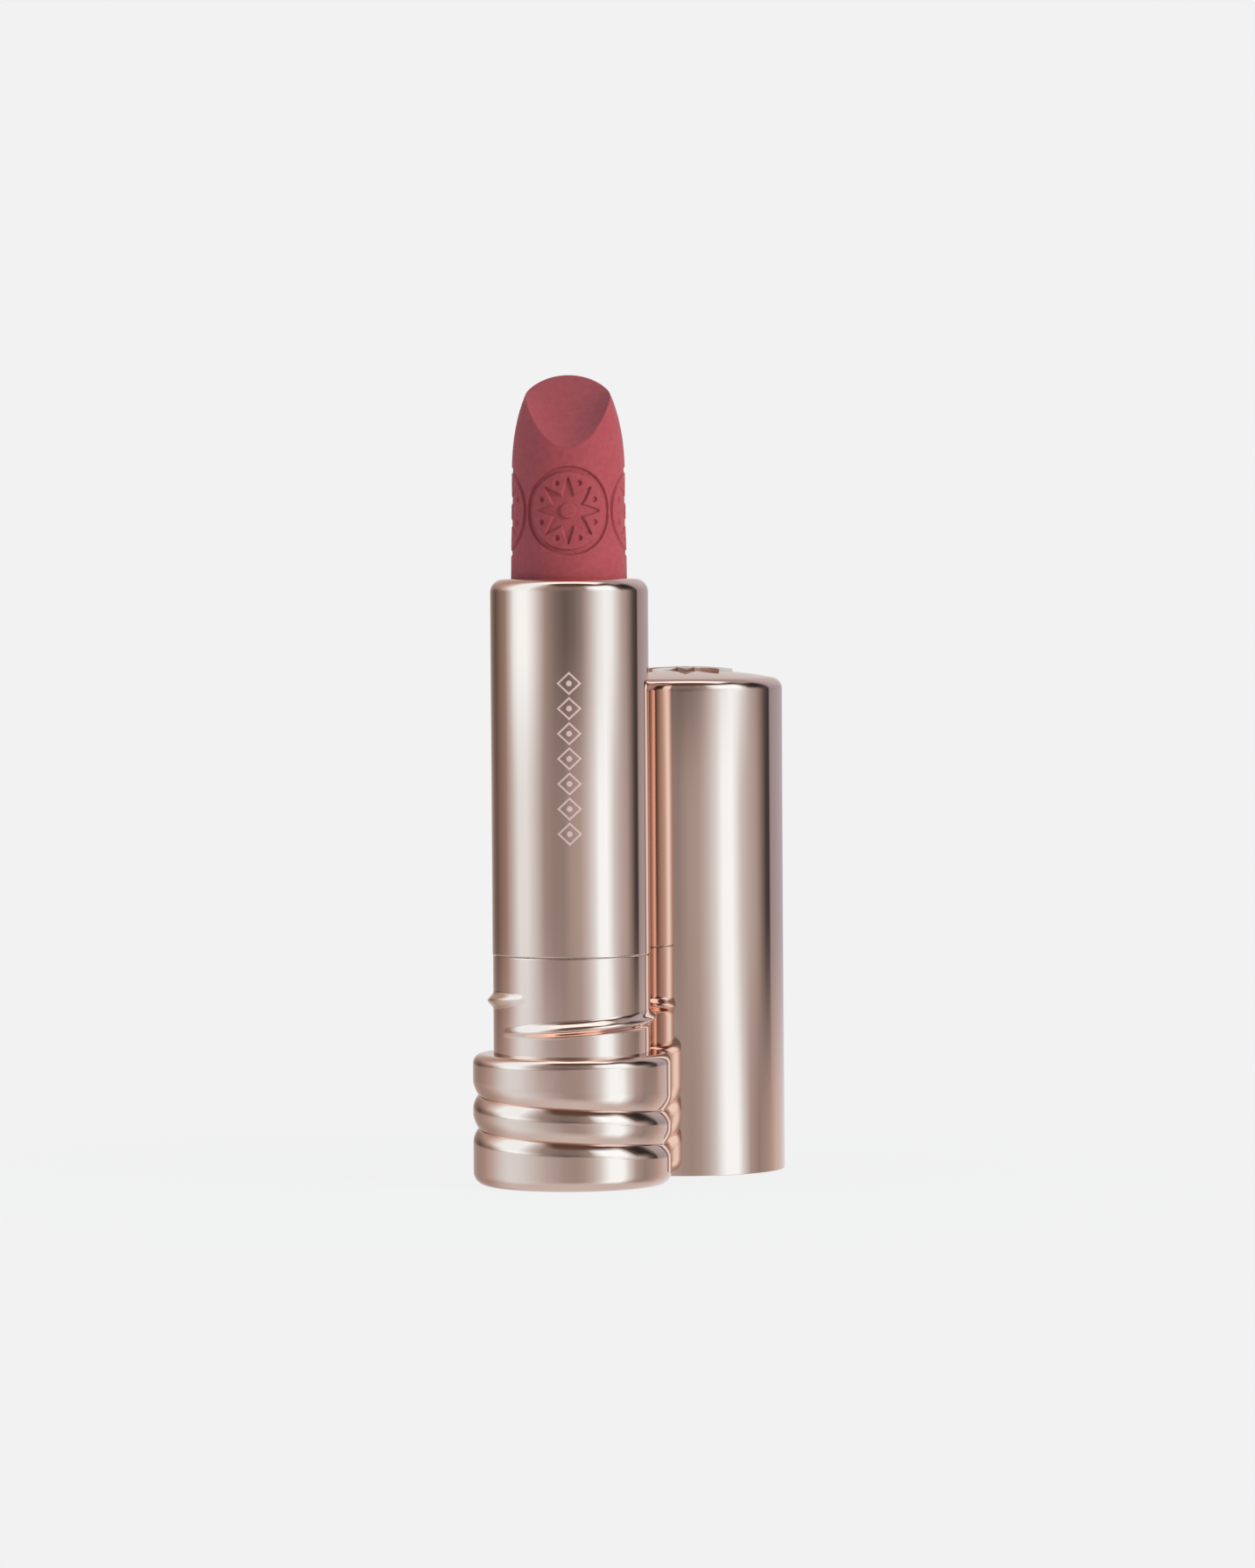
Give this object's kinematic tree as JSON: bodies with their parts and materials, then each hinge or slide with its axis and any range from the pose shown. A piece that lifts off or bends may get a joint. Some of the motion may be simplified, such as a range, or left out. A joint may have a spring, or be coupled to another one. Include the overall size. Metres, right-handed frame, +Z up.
{
  "type": "twist-up lipstick with screw-on cap",
  "caption": "Twist-up lipstick in a polished metal case with a grooved base, a threaded collar, a raised bullet with a slanted cut, and its domed screw-on cap standing beside it.",
  "frame": {"origin": "centre of the underside of the lipstick's base, on the twist axis", "axes": "+Z up along the lipstick, the cut face of the bullet looks along -Y, the cap stands towards +X and +Y"},
  "size_m": [0.0334, 0.039, 0.0857],
  "materials": {
    "rose_metal_base": "polished rose gold",
    "rose_metal_barrel": "polished rose gold",
    "rose_metal_cap": "polished rose gold",
    "emblem_metal": "satin rose gold",
    "cup_metal": "polished",
    "steel": "plain",
    "black_plastic": "moulded",
    "natural_plastic": "moulded",
    "silicone": "matte",
    "label": "printed sticker, blank",
    "lip_colour": "matte waxy"
  },
  "bodies": {
    "base_unit": {"base_shell": "rose_metal_base", "base_core": "black_plastic", "base_weight": "steel", "bottom_plate": "rose_metal_base", "shade_label": "label", "collar_shell": "rose_metal_barrel", "guide_tube": "natural_plastic", "brake_ring": "silicone"},
    "barrel": {"barrel_shell": "rose_metal_barrel", "spiral_sleeve": "natural_plastic"},
    "carrier": {"cup": "natural_plastic", "cup_lining": "cup_metal", "lip_bullet": "lip_colour"},
    "cap": {"cap_shell": "rose_metal_cap", "cap_liner": "black_plastic", "cap_thread_ring": "black_plastic", "cap_weight": "steel", "cap_emblem": "emblem_metal"}
  },
  "joints": [
    {"name": "twist", "type": "hinge", "parent": "base_unit", "child": "barrel", "pos_m": [0, 0, 0.0243], "axis": [0, 0, 1], "range_deg": [0, 648]},
    {"name": "bullet_slide", "type": "slide", "parent": "base_unit", "child": "carrier", "axis": [0, 0, 1], "range_m": [-0.02305, 0]},
    {"name": "cap_lift", "type": "slide", "parent": "base_unit", "child": "cap", "axis": [0, 0, 1], "range_m": [0, 0.06]}
  ],
  "couplings": [
    {"joint": "bullet_slide", "follows": "twist", "m_per_rad": -0.0020372}
  ]
}
